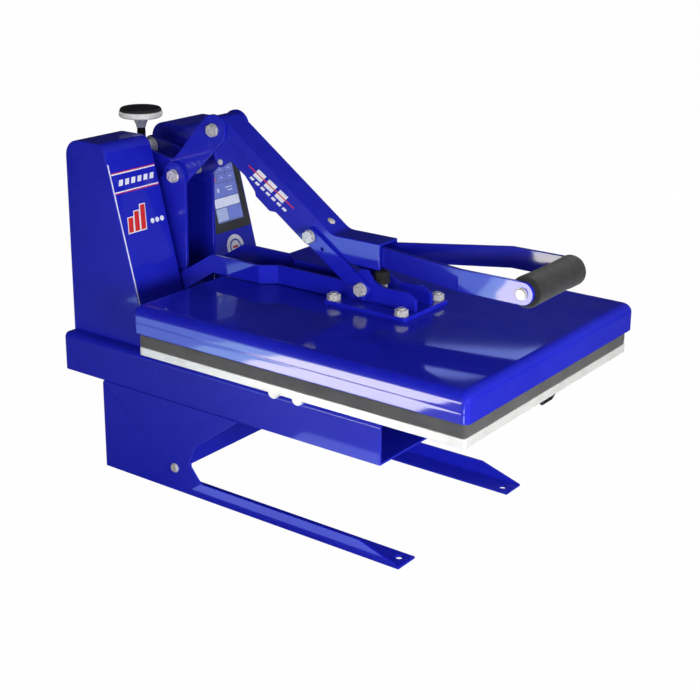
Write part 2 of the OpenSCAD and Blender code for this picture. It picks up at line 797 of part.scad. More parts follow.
module platen_arm() {
    slope = normal(hinge_pos - [hump_y, bar_top - bar_h/2]);
    color(paint) difference() {
        union() {
            yz_plate(-bar_out, plate_t) union() {
                translate(hinge_pos) circle(hub_r);
                polygon(rounded([
                    [jog_rear, bar_low, 0], [hump_y - 2, bar_low, 6],
                    concat(hinge_pos - slope*hub_r, [0]), concat(hinge_pos + slope*hub_r, [0]),
                    [hump_y, bar_top, 8], [jog_rear, bar_top, 0]
                ]));
            }
            translate([0, 0, bar_low]) linear_extrude(bar_h) polygon([
                [-bar_in, jog_rear + 3], [-bar_out, jog_rear + 3], [-bar_out, jog_rear],
                [-cheek_out, jog_front], [-cheek_out, jog_front - 3],
                [-cheek_in, jog_front - 3], [-cheek_in, jog_front], [-bar_in, jog_rear]
            ]);
            yz_plate(-cheek_out, plate_t) polygon(rounded([
                [jog_front, bar_low, 0], [jog_front, bar_top, 0], [44, bar_top, 12],
                [24, cover_top + 48, 2], [16, cover_top + 48.4, 2], [5.5, cover_top + 35, 6],
                [-10, cover_top + 28.5, 8], [-48, cover_top + 29.5, 10], [cheek_front, cover_top + 21, 4],
                [cheek_front, bracket_top, 0], [bracket_rear + 1, bracket_top, 0],
                [bracket_rear + 14, bar_low, 4]
            ]));
        }
        hole_x(hinge_pos, hinge_r + pin_clear);
        hole_x(link_low, pivot_r + pin_clear);
    }
}
module platen_arm_left() { place() platen_arm(); }
module platen_arm_right() { place() mirror([1, 0, 0]) platen_arm(); }

module bolt_places() {
    for (x = [-bracket_bolt_x, bracket_bolt_x], y = bracket_bolt_y) translate([x, y, 0]) children();
}

bolt_hole_r = pivot_r + 0.3;
module bracket_plate() {
    color(paint) place() difference() {
        translate([0, (bracket_front + bracket_rear)/2, 0])
            slab(101, bracket_rear - bracket_front, cover_top, bracket_t, 3);
        bolt_places() translate([0, 0, cover_top - 1]) cylinder(r = bolt_hole_r, h = bracket_t + 2);
        for (x = [-cheek_out - 6, cheek_out + 2], y = [-40, 5])
            translate([x, y, cover_top - 1]) cube([4, 30, bracket_t + 2]);
    }
}

module bracket_bolts() {
    color(zinc) place() bolt_places() {
        translate([0, 0, heat_top - 10]) cylinder(r = pivot_r, h = bracket_top + hex_h + 4 - heat_top + 10);
        translate([0, 0, bracket_top]) cylinder(r = washer_r, h = washer_t);
        translate([0, 0, bracket_top + washer_t - eps]) cylinder(r = hex_r, h = hex_h + 0.5, $fn = 6);
    }
}

bumper_r = 11;
module bumper() {
    color(black) place() translate([0, bumper_pos.x, bumper_pos.y]) rotate_extrude()
        polygon([[0, 0], [bumper_r - 1, 0], [bumper_r, 1], [bumper_r, 13], [bumper_r - 2.5, 17], [0, 18]]);
}

module bumper_stud() {
    color(zinc) place() translate([0, bumper_pos.x, 0]) {
        translate([0, 0, bracket_top]) cylinder(r = 4, h = bumper_pos.y - bracket_top);
        translate([0, 0, bumper_pos.y - 8]) cylinder(r = 8, h = 6.5, $fn = 6);
        translate([0, 0, bracket_top]) cylinder(r = 8, h = 6.5, $fn = 6);
    }
}

module arm_pivot_bolt() {
    color(zinc) place() {
        pivot_bolt(link_low, link_out);
        for (s = [0, 1]) mirror([s, 0, 0]) difference() {
            rod_x(link_low, washer_r, cheek_in - 6, cheek_in);
            rod_x(link_low, pivot_r - 1, cheek_in - 7, cheek_in + 1);
        }
    }
}

// ---------------------------------------------------------------- heated platen
// A shallow pan with a rolled edge, made of stacked rounded slabs
module pan(w, d, z0, z1, roll, r, n) {
    hull() {
        slab(w - 2, d - 2, z0, 1, r);
        slab(w, d, z0 + 1.5, 1, r);
        for (i = [0:n]) let (a = 90*i/n, pull = roll*(1 - cos(a)))
            slab(w - 2*pull, d - 2*pull, z1 - roll + roll*sin(a) - (i == n ? 0.2 : 0.1),
                 i == n ? 0.2 : 0.1, max(2, r - pull/2));
    }
}

module heat_cover() {
    w = platen_w + 2*cover_lip;
    d = platen_d + 2*cover_lip;
    color(paint) place() difference() {
        pan(w, d, cover_z, cover_top, cover_edge_r, cover_corner, 6);
        pan(w - 2*cover_wall, d - 2*cover_wall, cover_z - 3, cover_top - cover_wall,
            cover_edge_r - cover_wall, cover_corner - cover_wall, 3);
        bolt_places() translate([0, 0, cover_top - 5]) cylinder(r = bolt_hole_r, h = 10);
    }
}

element_top = heat_top + 2*element_r;
module insulation_pad() {
    z = element_top + 0.5;
    color("#d9d2b4") place() difference() {
        slab(platen_w - 24, platen_d - 24, z, cover_top - cover_wall - 0.8 - z, 8);
        bolt_places() translate([0, 0, z - 1]) cylinder(r = bolt_hole_r + 0.5, h = 40);
    }
}

module heat_platen() {
    color("#d8d4c8") place() difference() {
        slab(platen_w, platen_d, heat_z, heat_t, platen_corner);
        bolt_places() translate([0, 0, heat_top - 12]) cylinder(r = pivot_r + pin_clear, h = 13);
    }
}

// Tubular element laid in a serpentine on the heated platen
element_runs = 8;
module heating_element() {
    pitch = (platen_w - 46)/(element_runs - 1);
    reach = platen_d/2 - 20 - pitch/2;
    z = heat_top + element_r;
    color("#55504a") place() for (i = [0:element_runs - 1])
        translate([(i - (element_runs - 1)/2)*pitch, 0, z]) {
            translate([0, -reach, 0]) rotate([-90, 0, 0]) cylinder(r = element_r, h = 2*reach);
            if (i < element_runs - 1) {
                side = i % 2 == 0 ? 1 : -1;
                translate([pitch/2, side*reach, 0]) mirror([0, side > 0 ? 0 : 1, 0])
                    rotate_extrude(angle = 180) translate([pitch/2, 0]) circle(element_r);
            }
        }
}

// ---------------------------------------------------------------- output
stand_left();
stand_right();
stand_cross_plate();
stand_rear_plate();
stand_bolts();
base_channel();
base_floor();
base_bolts();
table_support();
table_latch();
lower_platen();
silicone_pad();
upright_left();
upright_right();
upright_tie();
screw_seat();
pressure_pivot_bolt();
hinge_shaft();
retaining_rings();
tower_cover_left();
tower_cover_right();
rear_panel();
cover_screws();
control_bezel();
control_screen();
controller_board();
solid_state_relay();
terminal_block();
power_inlet();
power_switch();
pressure_arm_left();
pressure_arm_right();
pressure_arm_web();
trunnion_nut();
lever_pivot_bolt();
pressure_screw();
knob_neck();
knob_rim();
knob_cap();
lever_channel();
handle_bar_left();
handle_bar_right();
grip_tube();
grip_foam();
grip_bolts();
stop_bolt();
link_left();
link_right();
link_pivot_bolts();
platen_arm_left();
platen_arm_right();
bracket_plate();
bracket_bolts();
bumper();
bumper_stud();
arm_pivot_bolt();
heat_cover();
insulation_pad();
heat_platen();
heating_element();
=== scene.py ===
"""Clamshell heat press: materials, soft parts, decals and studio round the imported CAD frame.

All lengths are in metres in the frame's own axes: +X right, -Y the operator's side, +Z up.
Sizes and places come from the CAD nodes' boxes.
"""
import json
import math

import bmesh
import bpy
from mathutils import Matrix, Vector, noise

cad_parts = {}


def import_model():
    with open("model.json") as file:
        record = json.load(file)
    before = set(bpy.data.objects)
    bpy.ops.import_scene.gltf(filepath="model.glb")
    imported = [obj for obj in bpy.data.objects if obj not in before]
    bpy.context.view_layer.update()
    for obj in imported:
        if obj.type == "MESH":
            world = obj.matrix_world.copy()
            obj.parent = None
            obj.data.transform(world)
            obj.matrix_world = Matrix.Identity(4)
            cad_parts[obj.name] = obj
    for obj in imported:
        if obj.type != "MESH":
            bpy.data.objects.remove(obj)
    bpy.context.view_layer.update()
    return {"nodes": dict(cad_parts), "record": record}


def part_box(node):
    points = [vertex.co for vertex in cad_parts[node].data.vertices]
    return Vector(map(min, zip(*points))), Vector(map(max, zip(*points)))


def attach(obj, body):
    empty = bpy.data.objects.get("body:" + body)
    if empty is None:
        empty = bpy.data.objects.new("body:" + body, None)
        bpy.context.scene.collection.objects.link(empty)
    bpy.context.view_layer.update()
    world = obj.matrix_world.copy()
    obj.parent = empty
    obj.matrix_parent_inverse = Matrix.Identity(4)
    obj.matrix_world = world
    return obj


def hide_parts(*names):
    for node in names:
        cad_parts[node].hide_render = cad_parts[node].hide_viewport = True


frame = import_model()
nodes = frame["nodes"]
slot_of = {part["node"]: part["material_slot"] for part in frame["record"]["subparts"]}
MM = 0.001


# ---------------------------------------------------------------- shader helpers
class Shader:
    """A node material with short calls for the nodes that every finish here uses."""

    def __init__(self, name):
        self.mat = bpy.data.materials.new(name)
        self.mat.use_nodes = True
        self.tree = self.mat.node_tree
        self.bsdf = self.tree.nodes["Principled BSDF"]
        coord = self.tree.nodes.new("ShaderNodeTexCoord")
        self.place = coord.outputs["Object"]

    def put(self, **values):
        """Set the Principled shader's own sockets."""
        for name, value in values.items():
            self.bsdf.inputs[name.replace("_", " ")].default_value = value

    def node(self, kind, links=(), **inputs):
        """Add a node, set the inputs given by name and link the ones in links."""
        made = self.tree.nodes.new(kind)
        for name, value in inputs.items():
            made.inputs[name.replace("_", " ")].default_value = value
        for name, source in links:
            self.tree.links.new(source, made.inputs[name])
        return made

    def noise(self, scale, detail=3.0, rough=0.5, stretch=None):
        """Noise over the object's own metres; stretch squeezes it along an axis."""
        source = self.place
        if stretch:
            source = self.node("ShaderNodeMapping", [("Vector", source)], Scale=stretch).outputs[0]
        return self.node("ShaderNodeTexNoise", [("Vector", source)], Scale=scale, Detail=detail,
                         Roughness=rough).outputs["Fac"]

    def spots(self, scale):
        """Distance to the nearest centre of a cell pattern."""
        cells = self.node("ShaderNodeTexVoronoi", [("Vector", self.place)], Scale=scale)
        return cells.outputs["Distance"]

    def ramp(self, source, *stops):
        """Colour ramp; each stop is (position, colour)."""
        made = self.node("ShaderNodeValToRGB", [("Fac", source)])
        ends = made.color_ramp.elements
        while len(ends) < len(stops):
            ends.new(0.5)
        for element, (place, colour) in zip(ends, stops):
            element.position = place
            element.color = (*colour, 1.0) if len(colour) == 3 else colour
        return made.outputs["Color"]

    def grey(self, source, low, high, start=0.0, end=1.0):
        """Maps source from start..end to low..high."""
        made = self.node("ShaderNodeMapRange", [("Value", source)])
        for name, value in (("From Min", start), ("From Max", end), ("To Min", low), ("To Max", high)):
            made.inputs[name].default_value = value
        return made.outputs["Result"]

    def mix(self, factor, a, b):
        """Blends colour a into colour b; each value is a socket, a number or a colour."""
        made = self.tree.nodes.new("ShaderNodeMix")
        made.data_type = "RGBA"
        colours = [socket for socket in made.inputs if socket.type == "RGBA"]
        for socket, value in zip([made.inputs["Factor"], *colours], [factor, a, b]):
            if isinstance(value, bpy.types.NodeSocket):
                self.tree.links.new(value, socket)
            else:
                socket.default_value = value if isinstance(value, float) else (*value, 1.0)
        return next(socket for socket in made.outputs if socket.type == "RGBA")

    def scaled(self, source, amount):
        """The source's value times a number."""
        made = self.tree.nodes.new("ShaderNodeMath")
        made.operation = "MULTIPLY"
        self.tree.links.new(source, made.inputs[0])
        made.inputs[1].default_value = amount
        return made.outputs[0]

    def colour(self, source):
        self.tree.links.new(source, self.bsdf.inputs["Base Color"])

    def roughness(self, source):
        self.tree.links.new(source, self.bsdf.inputs["Roughness"])

    def bump(self, *layers):
        """Each layer is (height source, strength, depth in metres); gives the shader back."""
        last = None
        for source, strength, depth in layers:
            made = self.node("ShaderNodeBump", [("Height", source)], Strength=strength, Distance=depth)
            if last:
                self.tree.links.new(last, made.inputs["Normal"])
            last = made.outputs["Normal"]
        self.tree.links.new(last, self.bsdf.inputs["Normal"])
        return self


# ---------------------------------------------------------------- finishes
def blue_paint():
    """Glossy royal-blue powder coat: light clouding and a little orange peel."""
    s = Shader("blue_paint")
    s.put(Coat_Weight=1.0, Coat_Roughness=0.06, IOR=1.5, Specular_IOR_Level=0.25)
    body = s.ramp(s.noise(5.0, 3.0), (0.3, (0.005, 0.007, 0.35)), (0.7, (0.008, 0.012, 0.43)))
    s.colour(s.mix(s.grey(s.noise(60.0, 4.0), 0.0, 0.25, 0.4, 0.75), body, (0.014, 0.026, 0.50)))
    s.roughness(s.grey(s.noise(30.0, 3.0), 0.44, 0.54, 0.3, 0.7))
    return s.bump((s.noise(110.0, 0.0), 0.02, 0.0004)).mat


def plated(name, dark, light, rough, metal=1.0, peel=380.0):
    """Plated or machined metal with clouding, faint tool marks and fine pits."""
    s = Shader(name)
    s.put(Metallic=metal)
    cloud = s.ramp(s.noise(140.0, 5.0, 0.6), (0.3, dark), (0.7, light))
    pits = s.grey(s.spots(1500.0), 1.0, 0.0, 0.0, 0.25)
    s.colour(s.mix(s.scaled(pits, 0.35), cloud, tuple(0.55 * c for c in dark)))
    s.roughness(s.grey(s.noise(300.0, 4.0), rough - 0.08, rough + 0.1, 0.3, 0.7))
    return s.bump((s.noise(peel, 3.0, stretch=(1.0, 1.0, 6.0)), 0.12, 0.0003)).mat


def machined_aluminium():
    """Satin platen plate: fine lines along its edges and light stains."""
    s = Shader("aluminium")
    s.put(Metallic=0.3)
    stain = s.ramp(s.noise(22.0, 6.0, 0.65), (0.25, (0.62, 0.61, 0.58)), (0.55, (0.76, 0.75, 0.73)),
                   (0.8, (0.84, 0.84, 0.82)))
    lines = s.noise(90.0, 4.0, stretch=(1.0, 1.0, 40.0))
    s.colour(s.mix(s.grey(lines, 0.0, 0.35, 0.4, 0.65), stain, (0.42, 0.41, 0.39)))
    s.roughness(s.grey(lines, 0.30, 0.5, 0.3, 0.7))
    return s.bump((lines, 0.15, 0.0002)).mat


def sponge(name, dark, light, cell, rough=0.92):
    """Open or closed cell sponge: cells with painted shade darkening each pore, specks and a dusty bloom.
    """
    s = Shader(name)
    s.put(Sheen_Weight=0.15, Sheen_Roughness=0.6)
    cells = s.spots(cell)
    base = s.ramp(s.noise(30.0, 4.0), (0.3, dark), (0.7, light))
    # Painted shade: each pore's centre, where the bump sinks, is darkened towards a deep grey.
    s.colour(s.mix(s.grey(cells, 0.55, 0.0, 0.0, 0.35), base, tuple(0.4 * c for c in dark)))
    s.roughness(s.grey(s.noise(80.0, 3.0), rough - 0.12, min(1.0, rough + 0.06), 0.3, 0.7))
    return s.bump((cells, 0.5, 0.0006), (s.noise(cell * 2.5, 3.0), 0.35, 0.0003)).mat


def felt():
    """Pale insulation felt: stretched threads under a little sheen."""
    s = Shader("insulation")
    s.put(Sheen_Weight=0.3)
    threads = s.noise(240.0, 6.0, 0.7, stretch=(1.0, 6.0, 1.0))
    s.colour(s.ramp(threads, (0.3, (0.42, 0.36, 0.22)), (0.7, (0.74, 0.68, 0.50))))
    s.roughness(s.grey(threads, 0.85, 1.0))
    return s.bump((threads, 0.7, 0.0008)).mat


def moulded(name, dark, light, rough, grain=1400.0, **values):
    """Moulded plastic or rubber with a spark-eroded grain."""
    s = Shader(name)
    s.put(**values)
    s.colour(s.ramp(s.noise(45.0, 4.0), (0.3, dark), (0.7, light)))
    s.roughness(s.grey(s.noise(260.0, 3.0), rough - 0.07, rough + 0.1, 0.3, 0.7))
    return s.bump((s.noise(grain, 2.0), 0.2, 0.00015)).mat


def glass_screen():
    """Lit touch panel: a faint pixel grid under gloss glass."""
    s = Shader("screen")
    s.put(Roughness=0.08, Coat_Weight=1.0, Coat_Roughness=0.02, Emission_Strength=0.25)
    grid = s.node("ShaderNodeTexChecker", [("Vector", s.place)], Scale=2400.0)
    grid.inputs["Color1"].default_value = (0.10, 0.13, 0.36, 1.0)
    grid.inputs["Color2"].default_value = (0.13, 0.16, 0.42, 1.0)
    glow = s.mix(s.grey(s.noise(18.0, 2.0), 0.0, 0.5), grid.outputs["Color"], (0.2, 0.25, 0.5))
    s.colour(glow)
    s.tree.links.new(glow, s.bsdf.inputs["Emission Color"])
    return s.mat


def printed(name, colour, glow=0.0, rough=0.35):
    """Printed vinyl or a screen tile: one ink with slight mottling and a clear film."""
    s = Shader(name)
    s.put(Coat_Weight=0.5, Coat_Roughness=0.12, Emission_Strength=glow)
    shade = tuple(0.86 * c for c in colour)
    ink = s.ramp(s.noise(160.0, 4.0), (0.3, shade), (0.7, colour))
    s.colour(ink)
    if glow:
        s.tree.links.new(ink, s.bsdf.inputs["Emission Color"])
    s.roughness(s.grey(s.noise(500.0, 2.0), rough - 0.08, rough + 0.08, 0.3, 0.7))
    return s.bump((s.noise(900.0, 2.0), 0.1, 0.0001)).mat


def circuit():
    """Green controller board with a brick pattern for its tracks."""
    s = Shader("circuit_board")
    s.put(Roughness=0.3, Coat_Weight=0.6)
    tracks = s.node("ShaderNodeTexBrick", [("Vector", s.place)], Scale=240.0)
    tracks.inputs["Color1"].default_value = (0.010, 0.10, 0.03, 1.0)
    tracks.inputs["Color2"].default_value = (0.015, 0.14, 0.045, 1.0)
    tracks.inputs["Mortar"].default_value = (0.03, 0.24, 0.09, 1.0)
    s.colour(tracks.outputs["Color"])
    return s.bump((tracks.outputs["Fac"], 0.3, 0.0002)).mat


FINISH = {
    "blue_paint": blue_paint(),
    "zinc": plated("zinc", (0.60, 0.58, 0.53), (0.84, 0.82, 0.77), 0.30, 0.55),
    "dark_steel": plated("dark_steel", (0.030, 0.028, 0.026), (0.075, 0.07, 0.068), 0.42),
    "aluminium": machined_aluminium(),
    "silicone_sponge": sponge("silicone_sponge", (0.052, 0.051, 0.050), (0.074, 0.072, 0.070), 620.0),
    "grip_foam": sponge("grip_foam", (0.006, 0.006, 0.006), (0.013, 0.013, 0.013), 900.0),
    "rubber": moulded("rubber", (0.011, 0.011, 0.011), (0.022, 0.021, 0.020), 0.62),
    "chrome": plated("chrome", (0.74, 0.74, 0.74), (0.90, 0.90, 0.90), 0.16, 0.8),
    "knob_metal": plated("knob_metal", (0.70, 0.69, 0.67), (0.82, 0.81, 0.79), 0.34, 0.3),
    "black_plastic": moulded("black_plastic", (0.030, 0.031, 0.034), (0.044, 0.045, 0.048), 0.46),
    "knob_black": moulded("knob_black", (0.012, 0.012, 0.013), (0.022, 0.022, 0.023), 0.42),
    "screen": glass_screen(),
    "circuit_board": circuit(),
    "pale_plastic": moulded("pale_plastic", (0.60, 0.56, 0.45), (0.72, 0.69, 0.58), 0.5),
    "switch_red": moulded("switch_red", (0.42, 0.010, 0.010), (0.55, 0.016, 0.014), 0.28,
                          Coat_Weight=0.4),
    "insulation": felt(),
    "steel_tube": plated("steel_tube", (0.30, 0.30, 0.31), (0.42, 0.42, 0.43), 0.36),
    "white_ink": printed("white_ink", (0.80, 0.82, 0.86)),
    "red_ink": printed("red_ink", (0.62, 0.015, 0.02)),
    "blue_ink": printed("blue_ink", (0.03, 0.06, 0.42)),
}
TILE = {
    "tile_blue": printed("tile_blue", (0.16, 0.21, 0.62), 0.22),
    "tile_pale": printed("tile_pale", (0.36, 0.42, 0.66), 0.3),
    "tile_red": printed("tile_red", (0.62, 0.06, 0.09), 0.3),
    "tile_light": printed("tile_light", (0.62, 0.66, 0.80), 0.3),
}


def dress(obj, finish):
    """Give an object one finish in place of any other."""
    obj.data.materials.clear()
    obj.data.materials.append(finish)


# ---------------------------------------------------------------- CAD nodes: finish and edges
# Bevel widths in millimetres, for the nodes that differ from DEFAULT_EDGE.
EDGE_WIDTH = {
    "tower_cover_left": 1.1, "tower_cover_right": 1.1, "lever_channel": 1.5, "base_channel": 0.7,
    "heat_platen": 0.8, "lower_platen": 0.8, "knob_rim": 0.6, "knob_cap": 0.6, "control_bezel": 0.6,
    "bracket_bolts": 0.7, "arm_pivot_bolt": 0.6, "lever_pivot_bolt": 0.6, "link_pivot_bolts": 0.6,
    "pressure_pivot_bolt": 0.6, "cover_screws": 0.4, "retaining_rings": 0.15, "control_screen": 0.2,
    "heating_element": 0.0, "controller_board": 0.2, "rear_panel": 0.4, "stop_bolt": 0.3,
    "power_inlet": 0.5, "power_switch": 0.5,
}
DEFAULT_EDGE = 0.6
SHARP = math.radians(38)
COPLANAR = math.radians(0.4)
WELD_GAP = 0.004 * MM


def round_edges(obj, width):
    """Weld the tessellated faces together and roll the sharp edges over by width, in millimetres."""
    bpy.context.view_layer.objects.active = obj
    if obj.data.has_custom_normals:
        bpy.ops.mesh.customdata_custom_splitnormals_clear()
    obj.data.polygons.foreach_set("use_smooth", [True] * len(obj.data.polygons))
    weld = obj.modifiers.new("weld", "WELD")
    weld.merge_threshold = WELD_GAP
    flat = obj.modifiers.new("flat", "DECIMATE")
    flat.decimate_type = "DISSOLVE"
    flat.angle_limit = COPLANAR
    if width > 0:
        bevel = obj.modifiers.new("edge", "BEVEL")
        bevel.width = width * MM
        bevel.segments = 3
        bevel.limit_method = "ANGLE"
        bevel.angle_limit = SHARP
        bevel.use_clamp_overlap = False
        normals = obj.modifiers.new("normals", "WEIGHTED_NORMAL")
        normals.weight = 80


for name, obj in nodes.items():
    dress(obj, FINISH[slot_of[name]])
    round_edges(obj, EDGE_WIDTH.get(name, DEFAULT_EDGE))
dress(nodes["knob_cap"], FINISH["knob_black"])


# ---------------------------------------------------------------- mesh helpers
def new_piece(name, bm, finish, body, smooth=True):
    """A bmesh becomes a named piece that rides on a body."""
    bmesh.ops.recalc_face_normals(bm, faces=bm.faces)
    mesh = bpy.data.meshes.new(name)
    bm.to_mesh(mesh)
    bm.free()
    mesh.polygons.foreach_set("use_smooth", [smooth] * len(mesh.polygons))
    piece = bpy.data.objects.new(name, mesh)
    bpy.context.scene.collection.objects.link(piece)
    dress(piece, finish)
    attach(piece, body)
    return piece


def apply_modifiers(piece):
    """Put the result of a piece's modifiers in place of its mesh."""
    bpy.context.view_layer.update()
    made = bpy.data.meshes.new_from_object(piece.evaluated_get(bpy.context.evaluated_depsgraph_get()))
    piece.modifiers.clear()
    piece.data = made


def loft(bm, rings, closed_loop=False):
    """Quads between rings of equal length; a face closes each end unless the rings form a loop."""
    made = [[bm.verts.new(point) for point in ring] for ring in rings]
    count = len(made[0])
    pairs = list(zip(made, made[1:]))
    if closed_loop:
        pairs.append((made[-1], made[0]))
    else:
        bm.faces.new(list(reversed(made[0])))
        bm.faces.new(made[-1])
    for low, high in pairs:
        for i in range(count):
            j = (i + 1) % count
            bm.faces.new((low[i], low[j], high[j], high[i]))


def box_middle(low, high):
    """Middle of a box seen from above."""
    return ((low.x + high.x) / 2, (low.y + high.y) / 2)


def rounded_ring(half_x, half_y, radius, z, centre, arc, side):
    """A rounded rectangle's points, anticlockwise from above: arc steps a corner, side steps a side."""
    points = []
    corners = [(1, 1, 0), (-1, 1, 90), (-1, -1, 180), (1, -1, 270)]
    ends = []
    for sx, sy, start in corners:
        cx, cy = sx * (half_x - radius), sy * (half_y - radius)
        ends.append([
            (cx + radius * math.cos(math.radians(start + 90 * i / arc)),
             cy + radius * math.sin(math.radians(start + 90 * i / arc)))
            for i in range(arc + 1)
        ])
    for i, curve in enumerate(ends):
        points += curve
        (x0, y0), (x1, y1) = curve[-1], ends[(i + 1) % 4][0]
        for k in range(1, side):
            t = k / side
            points.append((x0 + (x1 - x0) * t, y0 + (y1 - y0) * t))
    return [Vector((x + centre[0], y + centre[1], z)) for x, y in points]


def lathe(bm, profile, centre, axis, steps):
    """Turns a closed (radius, height) profile about an axis through centre."""
    turn = Vector((0, 0, 1)).rotation_difference(Vector(axis)).to_matrix()
    rings = []
    for i in range(steps):
        a = 2 * math.pi * i / steps
        rings.append([Vector(centre) + turn @ Vector((r * math.cos(a), r * math.sin(a), h))
                      for r, h in profile])
    loft(bm, rings, closed_loop=True)
    bmesh.ops.remove_doubles(bm, verts=bm.verts, dist=1e-6)


# ---------------------------------------------------------------- heat cover
def cover_bolt_holes(shell, top):
    """Cut the clearance holes of the four bracket bolts through the cover's top."""
    low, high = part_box("bracket_bolts")
    washer, clearance, depth = 9.5 * MM, 5.3 * MM, 12 * MM
    cut = bmesh.new()
    for x in (low.x + washer, high.x - washer):
        for y in (low.y + washer, high.y - washer):
            bmesh.ops.create_cone(cut, cap_ends=True, segments=32, radius1=clearance, radius2=clearance,
                                  depth=depth, matrix=Matrix.Translation((x, y, top)))
    mesh = bpy.data.meshes.new("bolt_holes")
    cut.to_mesh(mesh)
    cut.free()
    cutter = bpy.data.objects.new("bolt_holes", mesh)
    bpy.context.scene.collection.objects.link(cutter)
    holes = shell.modifiers.new("holes", "BOOLEAN")
    holes.operation = "DIFFERENCE"
    holes.object = cutter
    apply_modifiers(shell)
    bpy.data.objects.remove(cutter)


def heat_cover():
    """Drawn sheet cover: folded hem, slightly swelling sides with a faint crease, rolled top edge."""
    low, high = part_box("heat_cover")
    half_x, half_y = (high.x - low.x) / 2, (high.y - low.y) / 2
    height = high.z - low.z
    wall, roll, corner = 2.0 * MM, 13.0 * MM, 9.0 * MM
    swell, hem, crease = 0.05 * MM, 0.5 * MM, 0.10 * MM
    crease_at, crease_width = 0.55, 0.06
    side_steps, roll_steps = 24, 12
    straight = height - roll

    def inset(t):
        """Inset of the side at share t of the straight height."""
        return swell * (2 * t - 1) ** 2 + crease * math.exp(-((t - crease_at) / crease_width) ** 2)

    def ring(pull, h, least_corner):
        radius = max(corner - pull * 0.4, least_corner)
        return rounded_ring(half_x - pull, half_y - pull, radius, low.z + h, box_middle(low, high),
                            arc=10, side=24)

    profile = [(hem + swell, 0.0), (swell * 0.8, 0.4 * MM)]
    shares = [0.05 + 0.95 * i / side_steps for i in range(side_steps + 1)]
    profile += [(inset(t), straight * t) for t in shares]
    start = inset(1.0)
    for i in range(1, roll_steps + 1):
        a = math.radians(90 * i / roll_steps)
        profile.append((start + roll * (1 - math.cos(a)), straight + roll * math.sin(a)))
    profile += [(start + roll + 18 * MM, height), (start + roll + 60 * MM, height)]
    inner = [(p + wall, min(h, height - wall) if h > 0 else 0.0) for p, h in profile[1:-2]]
    inside = [ring(pull, h, 2 * MM) for pull, h in inner]
    inside.append(rounded_ring(half_x - 90 * MM, half_y - 90 * MM, 4 * MM, high.z - wall,
                               box_middle(low, high), arc=10, side=24))
    outside = [ring(pull, h, 3 * MM) for pull, h in profile]
    bm = bmesh.new()
    loft(bm, list(reversed(inside)) + outside)
    piece = new_piece("heat_cover_shell", bm, FINISH["blue_paint"], "platen")
    cover_bolt_holes(piece, high.z)
    sharp = piece.modifiers.new("flat", "WEIGHTED_NORMAL")
    sharp.weight = 60
    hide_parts("heat_cover")


# ---------------------------------------------------------------- soft parts
def slab_profile(pull, steps):
    """(share of height, inset) pairs of a soft edge that swells between its faces."""
    shares = [i / steps for i in range(steps + 1)]
    return [(t, pull * abs(2 * t - 1) ** 3) for t in shares]


def soft_slab(name, node, body, slot, pull, corner, wave, seed):
    """A sponge or felt sheet: its edge swells between the faces and wavers a little in plan."""
    low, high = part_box(node)
    half_x, half_y = (high.x - low.x) / 2, (high.y - low.y) / 2
    wave_length = 26 * MM
    rings = []
    for t, inset in slab_profile(pull, 12):
        z = low.z + (high.z - low.z) * t
        rings.append(rounded_ring(half_x - inset, half_y - inset, corner, z, box_middle(low, high),
                                  arc=8, side=60))
    bm = bmesh.new()
    loft(bm, rings)
    for v in bm.verts:
        drift = noise.noise_vector(v.co / wave_length + Vector((seed, 0, 0))) * wave
        drift.z = 0
        v.co += drift
        v.co.x = min(max(v.co.x, low.x), high.x)
        v.co.y = min(max(v.co.y, low.y), high.y)
    piece = new_piece(name, bm, FINISH[slot], body)
    soft = piece.modifiers.new("soft", "BEVEL")
    soft.width = 0.9 * MM
    soft.segments = 2
    soft.limit_method = "ANGLE"
    soft.angle_limit = math.radians(50)
    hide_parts(node)


def foam_grip():
    """Foam tube squeezed a little where hands hold it, with rolled ends."""
    low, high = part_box("grip_foam")
    core_low, core_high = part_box("grip_tube")
    centre = (low + high) / 2
    radius = (high.z - low.z) / 2
    bore = (core_high.z - core_low.z) / 2 + 0.05 * MM
    half = (high.x - low.x) / 2
    lip, squeeze = 4.5 * MM, 0.7 * MM
    steps, lip_steps = 40, 6
    profile = []
    for i in range(lip_steps + 1):
        a = math.radians(90 * i / lip_steps)
        profile.append((radius - lip + lip * math.sin(a), -half + lip - lip * math.cos(a)))
    for i in range(1, steps):
        h = -half + lip + (2 * half - 2 * lip) * i / steps
        waist = squeeze * math.cos(math.pi * h / (2 * half)) ** 2
        profile.append((radius - waist, h))
    for i in range(lip_steps, -1, -1):
        a = math.radians(90 * i / lip_steps)
        profile.append((radius - lip + lip * math.sin(a), half - lip + lip * math.cos(a)))
    profile += [(bore, half), (bore, -half)]
    bm = bmesh.new()
    lathe(bm, profile, centre, (1, 0, 0), 72)
    for v in bm.verts:
        away = Vector((0, v.co.y - centre.y, v.co.z - centre.z))
        if away.length > bore + 1 * MM:
            dent = noise.noise(v.co / (18 * MM)) * 0.45 * MM + noise.noise(v.co / (5 * MM)) * 0.2 * MM
            v.co += away.normalized() * min(0.0, dent - 0.15 * MM)
    piece = new_piece("foam_grip", bm, FINISH["grip_foam"], "lever")
    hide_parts("grip_foam")


